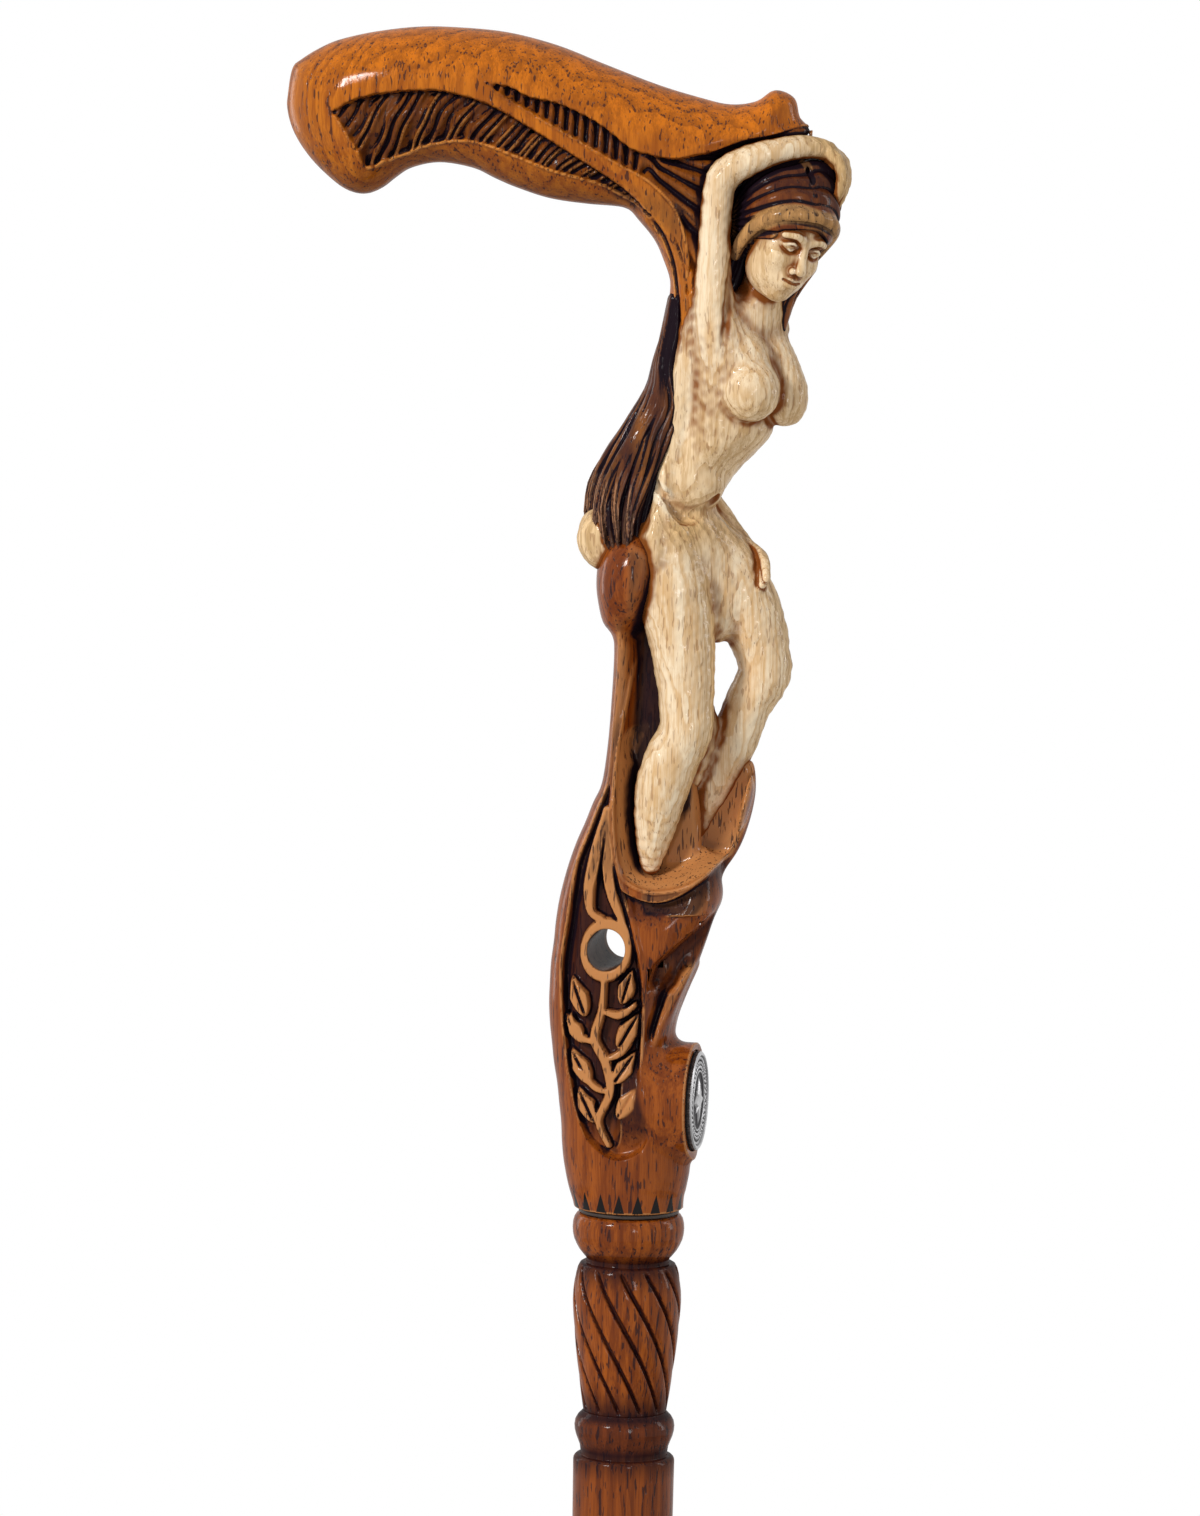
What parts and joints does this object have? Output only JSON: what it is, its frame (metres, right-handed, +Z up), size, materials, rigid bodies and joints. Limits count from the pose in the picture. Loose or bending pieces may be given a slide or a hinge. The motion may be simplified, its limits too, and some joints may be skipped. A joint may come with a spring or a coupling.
{
  "type": "walking cane",
  "caption": "Carved wooden walking cane: a crook-shaped grip on a figure-carved handle that unscrews from a turned, tapering shaft with a rubber foot.",
  "frame": {"origin": "centre of the ferrule's sole, where the cane meets the floor", "axes": "+Z up along the shaft to the handle, +X to the cane's front, where the figure looks; the grip points to -X"},
  "size_m": [0.1388, 0.038, 0.915],
  "materials": {
    "carved_oak": "stained in several tones and lacquered",
    "stained_oak": "stained and lacquered",
    "aged_silver": "antiqued",
    "turned_brass": "satin",
    "threaded_steel": "zinc plated",
    "fibre": "matt",
    "black_rubber": "matt",
    "plain_steel": "satin"
  },
  "bodies": {
    "shaft_body": {"shaft": "stained_oak", "shaft_bush": "turned_brass", "joint_stud": "threaded_steel"},
    "washer_body": {"joint_washer": "fibre"},
    "handle_body": {"carved_handle": "carved_oak", "medallion": "aged_silver", "handle_bush": "turned_brass"},
    "ferrule_body": {"ferrule": "black_rubber", "ferrule_washer": "plain_steel"}
  },
  "joints": [
    {"name": "handle_lift", "type": "slide", "parent": "shaft_body", "child": "washer_body", "axis": [0, 0, 1], "range_m": [0, 0.0226]},
    {"name": "handle_unscrew", "type": "hinge", "parent": "washer_body", "child": "handle_body", "pos_m": [0, 0, 0.64], "axis": [0, 0, 1], "range_deg": [0, 5400]},
    {"name": "ferrule_pull", "type": "slide", "parent": "shaft_body", "child": "ferrule_body", "axis": [0, 0, -1], "range_m": [0, 0.045]}
  ],
  "couplings": [
    {"joint": "handle_lift", "follows": "handle_unscrew", "m_per_rad": 0.00023873}
  ]
}
